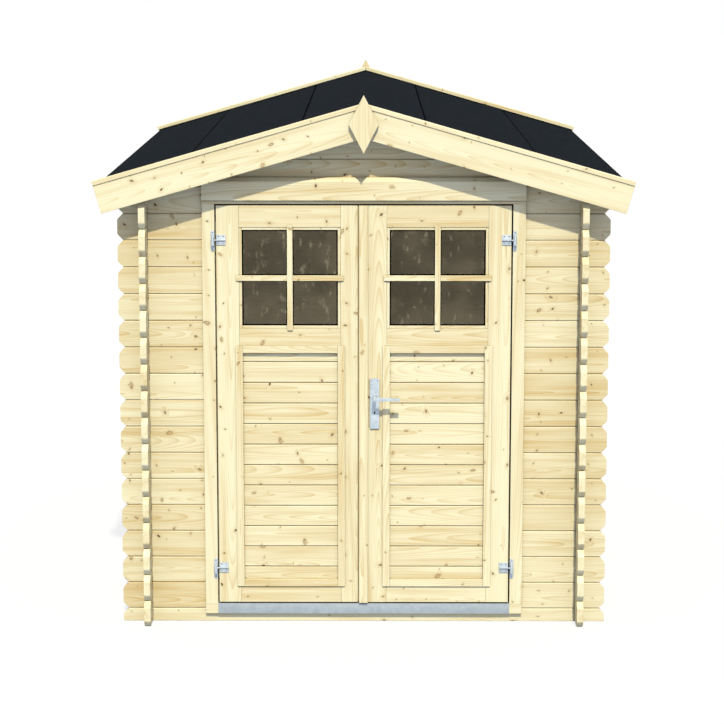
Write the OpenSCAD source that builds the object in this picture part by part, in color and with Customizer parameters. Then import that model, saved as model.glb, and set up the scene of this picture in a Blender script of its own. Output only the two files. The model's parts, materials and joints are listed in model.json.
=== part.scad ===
// Garden shed of interlocking log boards, with a felted gable roof and a pair of half-glazed doors.
// Millimetres, +Z up. The doors face -Y. The origin is on the ground at the middle of the plan.

/* [Logs] */
// Height of a log, from joint to joint
log_pitch = 116; // [110:1:122]
// Thickness of a log
log_thickness = 28; // [24:1:34]
// Length of the logs of the front and rear walls
front_log_length = 2100; // [2000:10:2400]
// Length of the logs of the side walls
side_log_length = 2700; // [2000:10:3600]
// How far a log runs past the wall that it crosses
overhang = 100; // [80:1:130]
// Whole logs in each side wall, below its bevelled top log
side_rows = 16; // [16:1:18]
// Length of the chamfers at a log's ends
end_chamfer = 25; // [10:1:30]
// Height of the chamfers at a log's ends
end_chamfer_height = 29; // [14:1:34]
// Easing of the chamfers' corners at the end faces
end_ease = 3; // [1:0.5:5]
// Chamfer along a log's edges, which makes the V of each joint
edge_chamfer = 4; // [2:0.5:6]
// Height of the bevelled top log at the outer face of a side wall
top_log_height = 99; // [90:1:115]

/* [Roof] */
// Slope of the roof, in degrees
roof_pitch = 16; // [12:0.5:22]
// Thickness of the roof boards
deck_thickness = 18; // [14:1:24]
// Length of the roof boards, from the ridge down to the eaves
deck_slope = 1160; // [1130:1:1250]
// Thickness of a sheet of felt
felt_thickness = 3; // [2:0.5:4]
// Distance from the ridge to the lower edge of the ridge sheet
ridge_sheet = 266; // [200:1:320]
// Distance from the ridge to the lower edge of the middle sheets
middle_sheet = 762; // [600:1:850]
// How far each sheet laps over the one below
felt_lap = 80; // [50:1:120]
// Length over which a sheet rises onto the one that it laps over
felt_ramp = 60; // [30:1:70]
// How far the felt turns down over the eaves
felt_turndown = 24; // [15:1:40]
// Height of the fascia boards
fascia_height = 122; // [100:1:150]
// Thickness of the fascia boards
fascia_thickness = 19; // [15:1:25]
// Length of the fascia boards and cover strips, from the ridge to their ends
fascia_slope = 1174; // [1165:1:1300]
// Width of the cover strips on top of the fascia boards
strip_width = 45; // [35:1:60]
// Thickness of the cover strips
strip_thickness = 18; // [14:1:22]
// How far the cover strips stand out in front of the fascia boards
strip_proud = 3; // [0:0.5:8]
// Width of the diamond-shaped finials
finial_width = 125; // [90:1:160]
// Height of the finials
finial_height = 244; // [180:1:300]
// Thickness of the finials
finial_thickness = 20; // [15:1:25]
// How far a finial stands above the cover strips
finial_rise = 37; // [20:1:60]
// Thickness of the purlins
purlin_width = 45; // [35:1:60]
// Height of the purlins
purlin_height = 85; // [70:1:95]
// Distance of the side purlins from the middle
purlin_offset = 475; // [400:1:550]

/* [Floor] */
// Height of the floor bearers
bearer_height = 40; // [36:1:44]
// Width of the floor bearers
bearer_width = 60; // [40:1:80]
// Number of floor bearers
bearer_count = 6; // [3:1:8]
// Thickness of the floor boards
floor_thickness = 18; // [15:1:22]

/* [Door frame] */
// Clear width between the jambs
doorway_width = 1269; // [1200:1:1300]
// Width of the jambs and height of the head, seen from the front
jamb_face = 54; // [48:1:60]
// How far the frame stands out in front of the logs
frame_proud = 16; // [8:1:18]
// How far the frame stands out behind the logs
frame_inside = 22; // [18:1:30]
// Depth of the frame's grooves, which hold the logs
groove_depth = 29; // [15:1:32]
// How far the stop behind the doors reaches into the doorway
stop_reach = 12; // [8:1:16]
// Height of the doorway's top edge above the bottom of the log over the doors
head_lift = 42; // [36:1:50]
// Top of the sill above the ground
sill_top = 82; // [76:1:90]
// Height of the sill
sill_height = 43; // [38:1:46]
// Thickness of the metal strip on the sill
sill_plate_thickness = 2; // [1:0.5:3]
// Height of the board over the doors
header_height = 97; // [80:1:105]
// How far the board over the doors stands out in front of the frame
header_proud = 14; // [4:1:16]
// Height of the frame's head that shows under that board
head_show = 16; // [10:1:24]
// Bevel along the top of the board over the doors
header_bevel = 16; // [10:1:20]

/* [Doors] */
// Thickness of the doors
door_thickness = 40; // [36:1:44]
// Width of the stiles on the hinge side
hinge_stile = 96; // [80:1:110]
// Distance from the middle of the doorway to the glass on either side
meeting_stile = 98; // [92:1:120]
// Height of each glazed opening
glass_height = 438; // [380:1:500]
// Height of the top rails
top_rail = 92; // [80:1:110]
// Height of the rails under the glass
middle_rail = 92; // [80:1:110]
// Height of the bottom rails
bottom_rail = 89; // [80:1:120]
// Thickness of the glass
glass_thickness = 4; // [3:1:6]
// How far the glass lies behind the front of the door
glass_recess = 8; // [6:1:16]
// Width of the beads that hold the glass
bead_width = 12; // [8:1:16]
// How far the beads lie behind the faces of the door
bead_recess = 2; // [1:0.5:4]
// Thickness of the boarded panels
panel_thickness = 18; // [14:1:22]
// How far the panels lie behind the front of the door
panel_recess = 8.5; // [4:0.5:14]
// Width of the moulding around the boarded panels
mould_width = 31; // [26:1:36]
// How far the moulding stands out in front of the door
mould_proud = 6; // [4:1:12]
// How far the moulding laps over the stiles and rails
mould_lap = 17; // [8:1:20]
// Width of the strip that covers the meeting edge
meeting_strip_width = 37; // [30:1:50]
// Thickness of that strip
meeting_strip_thickness = 14; // [10:1:20]
// Distance from the middle of the doorway to the left edge of that strip
meeting_offset = 20; // [16:1:26]

/* [Ironwork] */
// Height of the upper hinges above the ground
upper_hinge_z = 1686; // [1600:1:1700]
// Height of the lower hinges above the ground
lower_hinge_z = 247; // [210:1:320]
// Thickness of the hinge plates
hinge_plate = 2.5; // [2:0.5:4]
// Width of the hinge straps on the jambs
strap_width = 16; // [14:1:20]
// Height of the hinge straps on the jambs
strap_height = 89; // [70:1:110]
// Distance of the straps' middle below the hinges
strap_drop = 4; // [0:1:8]
// Width of the hinge leaves on the doors
leaf_width = 39; // [30:1:50]
// Height of the hinge leaves on the doors
leaf_height = 45; // [35:1:60]
// Diameter of the hinge pins
pin_diameter = 8; // [6:1:9]
// Outer diameter of the hinge eyes
eye_diameter = 14; // [13:1:16]
// Thickness of the tabs that carry the hinge eyes
tab_thickness = 5; // [4:0.5:8]
// How far those tabs stand out in front of the leaves
tab_rise = 5.5; // [3:0.5:6]
// Width of the lock plates
lock_plate_width = 40; // [34:1:50]
// Height of the lock plates
lock_plate_height = 220; // [180:1:250]
// Thickness of the lock plates
lock_plate_thickness = 7; // [2:0.5:8]
// Height of the middle of the lock plates above the ground
lock_z = 976; // [900:1:1050]
// Distance of the lock plates from the middle of the doorway
lock_x = 47; // [42:1:55]
// Distance of the keyhole below the middle of the lock plates
key_drop = 38; // [20:1:60]
// Height of the lever above the middle of the lock plates
lever_rise = 29; // [10:1:40]
// Distance from the lever's axis to its tip
lever_length = 109; // [80:1:130]
// Distance from the lock plate to the lever's outer face
lever_reach = 55; // [40:1:60]
// Diameter of the lever's neck
neck_diameter = 16; // [14:1:20]
// Diameter of the lever's rounded tip
lever_tip = 10; // [8:1:14]
// Diameter of the spindle through the door
spindle_diameter = 8; // [7:1:10]

/* [Hidden] */
$fn = 48;

WOOD = [0.93, 0.85, 0.67];
FELT = [0.15, 0.16, 0.18];
ZINC = [0.74, 0.77, 0.79];
PANE = [0.62, 0.70, 0.72, 0.45];

// Clearance between pieces of wood that fit together
fit = 0.3;
// Clearance of a pin in its eye and of the spindle in its holes
bore_fit = 0.4;
// Room around a closed door: at the jambs, over it, under it and between the doors
side_room = 6.5;
head_room = 7;
foot_room = 9;
meeting_room = 5.4;
// Room around the edges of the glass
glass_room = 1;
// Room between a hinge eye and the strap behind it, and from a hinge leaf to the edge of its door
eye_room = 1;
leaf_room = 1;
// Slant of the meeting edges across the door's thickness, so that each door clears the other
meeting_slant = 4;
// Room between a closed door and the stop behind it
stop_room = 5;
// Slack that lets a cut run past the piece it cuts
past = 1;

wall_x = front_log_length / 2 - overhang;
wall_y = side_log_length / 2 - overhang;
inner_x = wall_x - log_thickness;
inner_y = wall_y - log_thickness;
eave_z = side_rows * log_pitch + top_log_height;
ridge_z = eave_z + wall_x * tan(roof_pitch);
roof_end = side_log_length / 2;
fascia_front = roof_end + fascia_thickness;
strip_front = fascia_front + strip_proud;

// Levels above the underside of the roof, square to its slope: boards, lower sheet, lapping sheet, strip
deck_low = fit;
deck_high = deck_low + deck_thickness;
sheet_low = deck_high + fit;
sheet_high = sheet_low + felt_thickness;
lap_low = sheet_high + fit;
felt_top = lap_low + felt_thickness;
strip_low = felt_top + fit;
strip_top = strip_low + strip_thickness;
finial_top = ridge_z + strip_top / cos(roof_pitch) + finial_rise;

frame_front = -wall_y - frame_proud;
frame_back = -inner_y + frame_inside;
frame_half = doorway_width / 2 + jamb_face;
log_cut = frame_half - groove_depth;
over_door_z = (side_rows - 0.5) * log_pitch;
head_z = over_door_z + head_lift;
head_top = head_z + jamb_face;
head_log_z = head_top - groove_depth;
sill_bottom = sill_top - sill_height;

door_front = frame_front;
door_back = door_front + door_thickness;
stop_front = door_back + stop_room;
door_edge = doorway_width / 2 - side_room;
door_bottom = sill_top + foot_room;
door_top = head_z - head_room;
glass_top = door_top - top_rail;
glass_bottom = glass_top - glass_height;
panel_top = glass_bottom - middle_rail;
panel_bottom = door_bottom + bottom_rail;
glass_outer = door_edge - hinge_stile;
glass_inner = meeting_stile;
glass_width = glass_outer - glass_inner;
glass_middle = (glass_outer + glass_inner) / 2;
panel_front = door_front + panel_recess;
pane_front = door_front + glass_recess;
pane_back = pane_front + glass_thickness;

// The left edge of the right door, and the right edge of the left door, at the front
right_meeting = -meeting_offset;
left_meeting = right_meeting - meeting_room;

// The hinge axis stands in front of the strap by the eye's radius and a little room
hinge_x = doorway_width / 2 + strap_width / 2;
hinge_y = frame_front - hinge_plate - eye_diameter / 2 - eye_room;
lever_z = lock_z + lever_rise;
keyhole_z = lock_z - key_drop;

// The span of a size centred on a place
function around(middle, size) = [middle - size / 2, middle + size / 2];
// The same outline on the other side of the ridge, in the order that closes it
function other_side(points) = [for (i = [len(points) - 1 : -1 : 0]) [-points[i][0], points[i][1]]];

// A box between two corners, given as the spans along each axis
module block(x, y, z) {
    translate([min(x), min(y), min(z)])
        cube([abs(x[1] - x[0]), abs(y[1] - y[0]), abs(z[1] - z[0])]);
}

// Stands a drawing of X and Z upright between two places along Y
module upright(y) {
    translate([0, max(y), 0])
        rotate([90, 0, 0])
            linear_extrude(abs(y[1] - y[0]))
                children();
}

// A point of the roof's right slope: a distance down from the ridge and a height above the deck's underside
function slope_point(down, up) = [
    down * cos(roof_pitch) + up * sin(roof_pitch),
    ridge_z - down * sin(roof_pitch) + up * cos(roof_pitch)
];
// A point on the same slope, straight over a place beside the ridge
function ridge_point(x, up) = [x, ridge_z - x * tan(roof_pitch) + up / cos(roof_pitch)];

// The section of a log across its length, with the V chamfers; open_bottom leaves the lower edges square
module log_section(height, open_bottom = false) {
    c = edge_chamfer;
    b = open_bottom ? 0 : c;
    h = height - fit;
    polygon([
        [0, b], [b, 0], [log_thickness - b, 0], [log_thickness, b],
        [log_thickness, h - c], [log_thickness - c, h], [c, h], [0, h - c]
    ]);
}

// The corner of a log's end, from its long edge to its end face: distances back from the end and in
end_corner = [[end_chamfer, 0], [end_ease, end_chamfer_height - 2 * end_ease], [0, end_chamfer_height]];

// The side view of a log, chamfered at its ends and notched half through where it crosses other logs
module log_view(length, height, crossing, open_bottom = false) {
    h = height - fit;
    lower = open_bottom ? [[length / 2, 0]] : [for (p = end_corner) [length / 2 - p[0], p[1]]];
    upper = [for (i = [2 : -1 : 0]) [length / 2 - end_corner[i][0], h - end_corner[i][1]]];
    right_end = concat(lower, upper);
    notch = log_pitch / 4;
    difference() {
        polygon(concat(right_end, other_side(right_end)));
        for (side = [-1, 1])
            translate([side * crossing - log_thickness / 2 - fit, 0]) {
                translate([0, h - notch])
                    square([log_thickness + 2 * fit, notch + past]);
                if (!open_bottom)
                    translate([0, -past])
                        square([log_thickness + 2 * fit, notch + past]);
            }
    }
}

// A log along X with its outer face at y = 0, running to +Y; the drawing it is cut from is passed in
module log_along_x(length, height, open_bottom = false) {
    intersection() {
        upright([0, log_thickness])
            children();
        translate([-length / 2, 0, 0])
            rotate([90, 0, 90])
                linear_extrude(length)
                    log_section(height, open_bottom);
    }
}

// A whole log of the front or rear wall; row 0 is the half log on the ground
module cross_log(row) {
    translate([0, 0, row == 0 ? 0 : (row - 0.5) * log_pitch])
        log_along_x(front_log_length, row == 0 ? log_pitch / 2 : log_pitch, row == 0)
            log_view(front_log_length, row == 0 ? log_pitch / 2 : log_pitch,
                wall_x - log_thickness / 2, row == 0);
}

// The room for the gable between the side walls and under the roof boards
module gable_room() {
    half = inner_x - fit;
    polygon([
        [-half, over_door_z], [half, over_door_z], ridge_point(half, -fit), ridge_point(0, -fit),
        [-half, ridge_point(half, -fit)[1]]
    ]);
}

// A gable log, cut to the slope of the roof and around the purlins
module gable_log(row) {
    base = (row - 0.5) * log_pitch;
    difference() {
        intersection() {
            translate([0, 0, base])
                log_along_x(2 * inner_x, log_pitch)
                    translate([-inner_x, 0])
                        square([2 * inner_x, log_pitch - fit]);
            upright([-past, log_thickness + past])
                gable_room();
        }
        ridge_purlin_body(fit);
        side_purlin_bodies(fit);
    }
}

// The topmost log is left out where less than the edge chamfers would remain of it
module gable_logs() {
    top_row = floor((ridge_z - 4 * edge_chamfer) / log_pitch + 0.5);
    for (row = [side_rows + 1 : top_row])
        gable_log(row);
}

// Logs of a side wall lie along Y with their outer face at x = 0, running to +X
module side_log(row) {
    translate([0, 0, row * log_pitch])
        rotate([0, 0, -90])
            log_along_x(side_log_length, log_pitch)
                log_view(side_log_length, log_pitch, wall_y - log_thickness / 2);
}

// The top log of a side wall is bevelled to carry the roof boards
module side_top_log() {
    rise = log_thickness * tan(roof_pitch);
    base = side_rows * log_pitch;
    notch = log_pitch / 4;
    difference() {
        rotate([90, 0, 0])
            linear_extrude(side_log_length, center = true)
                polygon([
                    [0, base + edge_chamfer], [edge_chamfer, base],
                    [log_thickness - edge_chamfer, base], [log_thickness, base + edge_chamfer],
                    [log_thickness, eave_z + rise - fit], [0, eave_z - fit]
                ]);
        for (side = [-1, 1])
            block([-past, log_thickness + past],
                around(side * (wall_y - log_thickness / 2), log_thickness + 2 * fit),
                [base - past, base + notch]);
    }
}

module side_wall() {
    for (row = [0 : side_rows - 1])
        side_log(row);
    side_top_log();
}

module left_wall() {
    color(WOOD)
        translate([-wall_x, 0, 0])
            side_wall();
}

module right_wall() {
    color(WOOD)
        mirror([1, 0, 0])
            translate([-wall_x, 0, 0])
                side_wall();
}

module rear_wall() {
    color(WOOD)
        translate([0, inner_y, 0])
            for (row = [0 : side_rows])
                cross_log(row);
}

module rear_gable() {
    color(WOOD)
        translate([0, inner_y, 0])
            gable_logs();
}

module front_bottom_log() {
    color(WOOD)
        translate([0, -wall_y, 0])
            cross_log(0);
}

// The short logs beside the doors end in the grooves of the jambs
module front_wall_side(side) {
    color(WOOD)
        for (row = [1 : side_rows - 1])
            intersection() {
                translate([0, -wall_y, 0])
                    cross_log(row);
                block(side * [log_cut + fit, front_log_length], [-wall_y - past, -inner_y + past],
                    [0, ridge_z]);
            }
}

module front_wall_left() {
    front_wall_side(-1);
}

module front_wall_right() {
    front_wall_side(1);
}

// The log over the doors is cut out for the head of the frame
module front_gable() {
    color(WOOD)
        translate([0, -wall_y, 0]) {
            difference() {
                cross_log(side_rows);
                block([-log_cut - fit, log_cut + fit], [-past, log_thickness + past],
                    [over_door_z - past, head_log_z + fit]);
            }
            gable_logs();
        }
}

module floor_bearers() {
    run = inner_y - fit;
    first = frame_back + bearer_width / 2 + fit;
    step = (run - bearer_width / 2 - first) / (bearer_count - 1);
    color(WOOD)
        for (i = [0 : bearer_count - 1])
            block([-inner_x + fit, inner_x - fit], around(first + i * step, bearer_width), [0, bearer_height]);
}

module floor_deck() {
    color(WOOD)
        block([-inner_x + fit, inner_x - fit], [frame_back + fit, inner_y - fit],
            [bearer_height, bearer_height + floor_thickness]);
}

// Purlins have their tops cut to the slope; grow widens them for the notches in the gables
module ridge_purlin_body(grow = 0) {
    half = purlin_width / 2 + grow;
    base = ridge_point(purlin_width / 2, 0)[1] - purlin_height - grow;
    upright([-roof_end, roof_end])
        polygon([
            [-half, base], [half, base], ridge_point(half, grow), ridge_point(0, grow),
            [-half, ridge_point(half, grow)[1]]
        ]);
}

module side_purlin_bodies(grow = 0) {
    near = purlin_offset - purlin_width / 2 - grow;
    far = purlin_offset + purlin_width / 2 + grow;
    base = ridge_point(purlin_offset + purlin_width / 2, 0)[1] - purlin_height - grow;
    for (side = [0, 1])
        mirror([side, 0, 0])
            upright([-roof_end, roof_end])
                polygon([[near, base], [far, base], ridge_point(far, grow), ridge_point(near, grow)]);
}

module ridge_purlin() {
    color(WOOD)
        ridge_purlin_body();
}

module side_purlins() {
    color(WOOD)
        side_purlin_bodies();
}

// A slab on the right slope, mitred beside the ridge
module slope_slab(y, down, low, high) {
    upright(y)
        polygon([
            ridge_point(fit / 2, low), slope_point(down, low), slope_point(down, high),
            ridge_point(fit / 2, high)
        ]);
}

module roof_deck_right() {
    color(WOOD)
        slope_slab([-roof_end, roof_end], deck_slope, deck_low, deck_high);
}

module roof_deck_left() {
    mirror([1, 0, 0])
        roof_deck_right();
}

// The lower sheets start under the middle sheets and turn down over the eaves
module felt_lower() {
    edge = deck_slope + fit;
    color(FELT)
        for (side = [0, 1])
            mirror([side, 0, 0])
                upright([-roof_end, roof_end])
                    polygon([
                        slope_point(middle_sheet - felt_lap, sheet_low), slope_point(edge, sheet_low),
                        slope_point(edge, sheet_low - felt_turndown),
                        slope_point(edge + felt_thickness, sheet_low - felt_turndown),
                        slope_point(edge + felt_thickness, sheet_high),
                        slope_point(middle_sheet - felt_lap, sheet_high)
                    ]);
}

// The middle sheets rise where they lap over the lower ones
module felt_middle() {
    lap = middle_sheet - felt_lap - fit;
    color(FELT)
        for (side = [0, 1])
            mirror([side, 0, 0])
                upright([-roof_end, roof_end])
                    polygon([
                        slope_point(ridge_sheet - felt_lap, sheet_low), slope_point(lap, sheet_low),
                        slope_point(lap, lap_low), slope_point(middle_sheet, lap_low),
                        slope_point(middle_sheet, felt_top), slope_point(lap, felt_top),
                        slope_point(lap - felt_ramp, sheet_high),
                        slope_point(ridge_sheet - felt_lap, sheet_high)
                    ]);
}

// The ridge sheet is folded over the ridge and laps over both middle sheets
module felt_ridge() {
    lap = ridge_sheet - felt_lap - fit;
    under = [slope_point(lap, sheet_low), slope_point(lap, lap_low), slope_point(ridge_sheet, lap_low)];
    over = [
        slope_point(ridge_sheet, felt_top), slope_point(lap, felt_top),
        slope_point(lap - felt_ramp, sheet_high)
    ];
    color(FELT)
        upright([-roof_end, roof_end])
            polygon(concat([ridge_point(0, sheet_low)], under, over, [ridge_point(0, sheet_high)],
                other_side(over), other_side(under)));
}

module fascia_pair() {
    color(WOOD)
        for (side = [0, 1])
            mirror([side, 0, 0])
                slope_slab([-fascia_front, -roof_end], fascia_slope, felt_top - fascia_height, felt_top);
}

module strip_pair() {
    color(WOOD)
        for (side = [0, 1])
            mirror([side, 0, 0])
                slope_slab([-strip_front, strip_width - strip_front], fascia_slope, strip_low, strip_top);
}

// A finial is nailed to the front of the cover strips
module finial() {
    middle = finial_top - finial_height / 2;
    color(WOOD)
        upright([-strip_front - finial_thickness, -strip_front])
            polygon([
                [0, finial_top], [finial_width / 2, middle],
                [0, finial_top - finial_height], [-finial_width / 2, middle]
            ]);
}

module front_fascia() {
    fascia_pair();
}

module rear_fascia() {
    mirror([0, 1, 0])
        fascia_pair();
}

module front_cover_strips() {
    strip_pair();
}

module rear_cover_strips() {
    mirror([0, 1, 0])
        strip_pair();
}

module front_finial() {
    finial();
}

module rear_finial() {
    mirror([0, 1, 0])
        finial();
}

// A jamb is grooved for the ends of the logs and has a stop for the door
module jamb() {
    inside = doorway_width / 2;
    color(WOOD)
        translate([0, 0, sill_top])
            linear_extrude(head_z - sill_top)
                polygon([
                    [inside, frame_front], [frame_half, frame_front], [frame_half, -wall_y - fit],
                    [log_cut, -wall_y - fit], [log_cut, -inner_y + fit], [frame_half, -inner_y + fit],
                    [frame_half, frame_back], [inside - stop_reach, frame_back],
                    [inside - stop_reach, stop_front], [inside, stop_front]
                ]);
}

module door_jamb_right() {
    jamb();
}

module door_jamb_left() {
    mirror([1, 0, 0])
        jamb();
}

// The head sits on the jambs, grooved for the log above and for the logs at its ends
module door_head() {
    stop_end = doorway_width / 2 - stop_reach - fit;
    color(WOOD)
        difference() {
            union() {
                block([-frame_half, frame_half], [frame_front, frame_back], [head_z, head_top]);
                block([-stop_end, stop_end], [stop_front, frame_back], [head_z - stop_reach, head_z]);
            }
            block([-frame_half - past, frame_half + past], [-wall_y - fit, -inner_y + fit],
                [head_log_z, head_top + past]);
            for (side = [-1, 1])
                block(side * [log_cut, frame_half + past], [-wall_y - fit, -inner_y + fit],
                    [head_z - past, head_top + past]);
        }
}

// The board over the doors sheds water with a bevelled top
module door_header_board() {
    base = head_z + head_show;
    top = base + header_height;
    front = frame_front - header_proud;
    color(WOOD)
        translate([-frame_half, 0, 0])
            rotate([90, 0, 90])
                linear_extrude(2 * frame_half)
                    polygon([
                        [frame_front, base], [frame_front, head_top + fit], [-wall_y, head_top + fit],
                        [-wall_y, top], [frame_front, top], [front, top - header_bevel], [front, base]
                    ]);
}

// The sill is grooved underneath for the half log and at its ends for the logs beside the doors
module door_sill() {
    color(WOOD)
        difference() {
            block([-frame_half, frame_half], [frame_front, frame_back], [sill_bottom, sill_top]);
            block([-frame_half - past, frame_half + past], [-wall_y - fit, -inner_y + fit],
                [sill_bottom - past, log_pitch / 2]);
            for (side = [-1, 1])
                block(side * [log_cut, frame_half + past], [-wall_y - fit, -inner_y + fit],
                    [sill_bottom - past, sill_top + past]);
        }
}

// The metal strip wraps the sill's front edge between the jambs
module sill_plate() {
    half = doorway_width / 2 - fit;
    t = sill_plate_thickness;
    color(ZINC)
        translate([-half, 0, 0])
            rotate([90, 0, 90])
                linear_extrude(2 * half)
                    polygon([
                        [frame_front - t, sill_bottom], [frame_front, sill_bottom], [frame_front, sill_top],
                        [door_back, sill_top], [door_back, sill_top + t], [frame_front - t, sill_top + t]
                    ]);
}

// A strap with round ends, screwed to the jamb, and the pin that stands on its lug
module frame_hinge(z) {
    lug = strap_height / 4;
    translate([hinge_x, 0, z]) {
        upright([frame_front - hinge_plate, frame_front])
            translate([0, -strap_drop]) {
                square([strap_width, strap_height - strap_width], center = true);
                for (side = [-1, 1])
                    translate([0, side * (strap_height - strap_width) / 2])
                        circle(d = strap_width);
            }
        translate([0, hinge_y, 0]) {
            translate([0, 0, -tab_thickness / 2 - fit - lug]) {
                cylinder(d = eye_diameter, h = lug);
                block([-eye_diameter / 2, eye_diameter / 2], [0, frame_front - hinge_plate - hinge_y], [0, lug]);
            }
            translate([0, 0, -lug])
                cylinder(d = pin_diameter, h = 2 * lug);
        }
    }
}

module frame_hinges() {
    color(ZINC)
        for (z = [lower_hinge_z, upper_hinge_z]) {
            frame_hinge(z);
            mirror([1, 0, 0])
                frame_hinge(z);
        }
}

// A plate on the door with a tab that cranks out past the door's edge to an eye around the pin
module door_hinge(z) {
    edge = door_edge - leaf_room;
    leaf_front = door_front - hinge_plate;
    eye_back = hinge_y + eye_diameter / 2;
    difference() {
        union() {
            block([edge - leaf_width, edge], [leaf_front, door_front], around(z, leaf_height));
            translate([0, 0, z - tab_thickness / 2])
                linear_extrude(tab_thickness) {
                    polygon([
                        [edge - leaf_width, leaf_front], [edge, leaf_front], [edge, eye_back],
                        [hinge_x, eye_back], [hinge_x, hinge_y - eye_diameter / 2],
                        [edge, leaf_front - tab_rise], [edge - leaf_width, leaf_front - tab_rise]
                    ]);
                    translate([hinge_x, hinge_y])
                        circle(d = eye_diameter);
                }
        }
        translate([hinge_x, hinge_y, z - tab_thickness])
            cylinder(d = pin_diameter + 2 * bore_fit, h = 2 * tab_thickness);
    }
}

module door_hinges() {
    color(ZINC)
        for (z = [lower_hinge_z, upper_hinge_z])
            door_hinge(z);
}

module right_door_hinges() {
    door_hinges();
}

module left_door_hinges() {
    mirror([1, 0, 0])
        door_hinges();
}

// Two stiles and three rails; the meeting stile's edge is slanted, and side is -1 for the left door
module door_frame(side, meeting) {
    y = [door_front, door_back];
    back = meeting + side * meeting_slant;
    block(side * [glass_outer, door_edge], y, [door_bottom, door_top]);
    translate([0, 0, door_bottom])
        linear_extrude(door_top - door_bottom)
            polygon([
                [meeting, door_front], [side * glass_inner, door_front], [side * glass_inner, door_back],
                [back, door_back]
            ]);
    for (z = [[door_bottom, panel_bottom], [panel_top, glass_bottom], [glass_top, door_top]])
        block(side * [glass_inner + fit, glass_outer - fit], y, z);
}

module left_door_frame() {
    color(WOOD)
        door_frame(-1, left_meeting);
}

// The right door's frame is bored for the lever's spindle
module right_door_frame() {
    color(WOOD)
        difference() {
            door_frame(1, right_meeting);
            spindle_bore(door_front - past, door_back + past);
        }
}

module spindle_bore(from, to) {
    translate([lock_x, to, lever_z])
        rotate([90, 0, 0])
            cylinder(d = spindle_diameter + 2 * bore_fit, h = to - from);
}

module door_panel(side) {
    color(WOOD)
        block(side * [glass_inner + fit, glass_outer - fit],
            [panel_front, panel_front + panel_thickness], [panel_bottom + fit, panel_top - fit]);
}

module left_door_panel() {
    door_panel(-1);
}

module right_door_panel() {
    door_panel(1);
}

// Four sticks that butt at the corners of an outline, with the uprights running through
module stick_ring(outline, width) {
    for (side = [-1, 1]) {
        translate([side * (outline[0] - width) / 2, 0])
            square([width, outline[1]], center = true);
        translate([0, side * (outline[1] - width) / 2])
            square([outline[0] - 2 * (width + fit), width], center = true);
    }
}

// The moulding laps over the stiles and rails, and its inner part reaches back to the panel
module door_mould(side) {
    opening = [glass_width, panel_top - panel_bottom];
    color(WOOD)
        translate([side * glass_middle, 0, (panel_top + panel_bottom) / 2]) {
            upright([door_front - mould_proud, door_front])
                stick_ring(opening + 2 * mould_lap * [1, 1], mould_width);
            upright([door_front, panel_front])
                stick_ring(opening - 2 * fit * [1, 1], mould_width - mould_lap - fit);
        }
}

module left_door_mould() {
    door_mould(-1);
}

module right_door_mould() {
    door_mould(1);
}

module door_glass(side) {
    color(PANE)
        block(side * [glass_inner + glass_room, glass_outer - glass_room], [pane_front, pane_back],
            [glass_bottom + glass_room, glass_top - glass_room]);
}

module left_door_glass() {
    door_glass(-1);
}

module right_door_glass() {
    door_glass(1);
}

// Beads hold the glass from the front and from the back
module door_beads(side) {
    color(WOOD)
        translate([side * glass_middle, 0, (glass_top + glass_bottom) / 2])
            for (y = [[door_front + bead_recess, pane_front], [pane_back, door_back - bead_recess]])
                upright(y)
                    stick_ring([glass_width - 2 * fit, glass_height - 2 * fit], bead_width);
}

module left_door_beads() {
    door_beads(-1);
}

module right_door_beads() {
    door_beads(1);
}

module meeting_strip() {
    color(WOOD)
        block([right_meeting, right_meeting + meeting_strip_width],
            [door_front - meeting_strip_thickness, door_front], [door_bottom, door_top]);
}

// A lock plate with round corners and a keyhole
module lock_plate_view() {
    corner = 6;
    key_round = 8;
    key_slot = [3.5, 8];
    difference() {
        translate([lock_x, lock_z]) {
            square([lock_plate_width - 2 * corner, lock_plate_height], center = true);
            square([lock_plate_width, lock_plate_height - 2 * corner], center = true);
            for (x = [-1, 1], z = [-1, 1])
                translate([x * (lock_plate_width / 2 - corner), z * (lock_plate_height / 2 - corner)])
                    circle(corner);
        }
        translate([lock_x, keyhole_z]) {
            circle(d = key_round);
            translate([-key_slot[0] / 2, -key_slot[1]])
                square(key_slot);
        }
    }
}

module lock_plates() {
    color(ZINC)
        for (y = [[door_front - lock_plate_thickness, door_front], [door_back, door_back + lock_plate_thickness]])
            difference() {
                upright(y)
                    lock_plate_view();
                spindle_bore(y[0] - past, y[1] + past);
            }
}

// The lever tapers from its neck to a round tip
module lever_view() {
    run = lever_length - lever_tip / 2;
    circle(d = neck_diameter);
    translate([run, 0])
        circle(d = lever_tip);
    polygon([[0, neck_diameter / 2], [run, lever_tip / 2], [run, -lever_tip / 2], [0, -neck_diameter / 2]]);
}

module door_handle() {
    grip = 11;
    room = 1;
    faces = [door_front - lock_plate_thickness, door_back + lock_plate_thickness];
    color(ZINC)
        translate([lock_x, 0, lever_z]) {
            upright([faces[0] - lever_reach + grip / 2, faces[1] + lever_reach - grip / 2])
                circle(d = spindle_diameter);
            upright([faces[0] - lever_reach, faces[0] - lever_reach + grip])
                lever_view();
            upright([faces[1] + lever_reach - grip, faces[1] + lever_reach])
                lever_view();
            upright([faces[0] - lever_reach + grip / 2, faces[0] - room])
                circle(d = neck_diameter);
            upright([faces[1] + room, faces[1] + lever_reach - grip / 2])
                circle(d = neck_diameter);
        }
}

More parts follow.
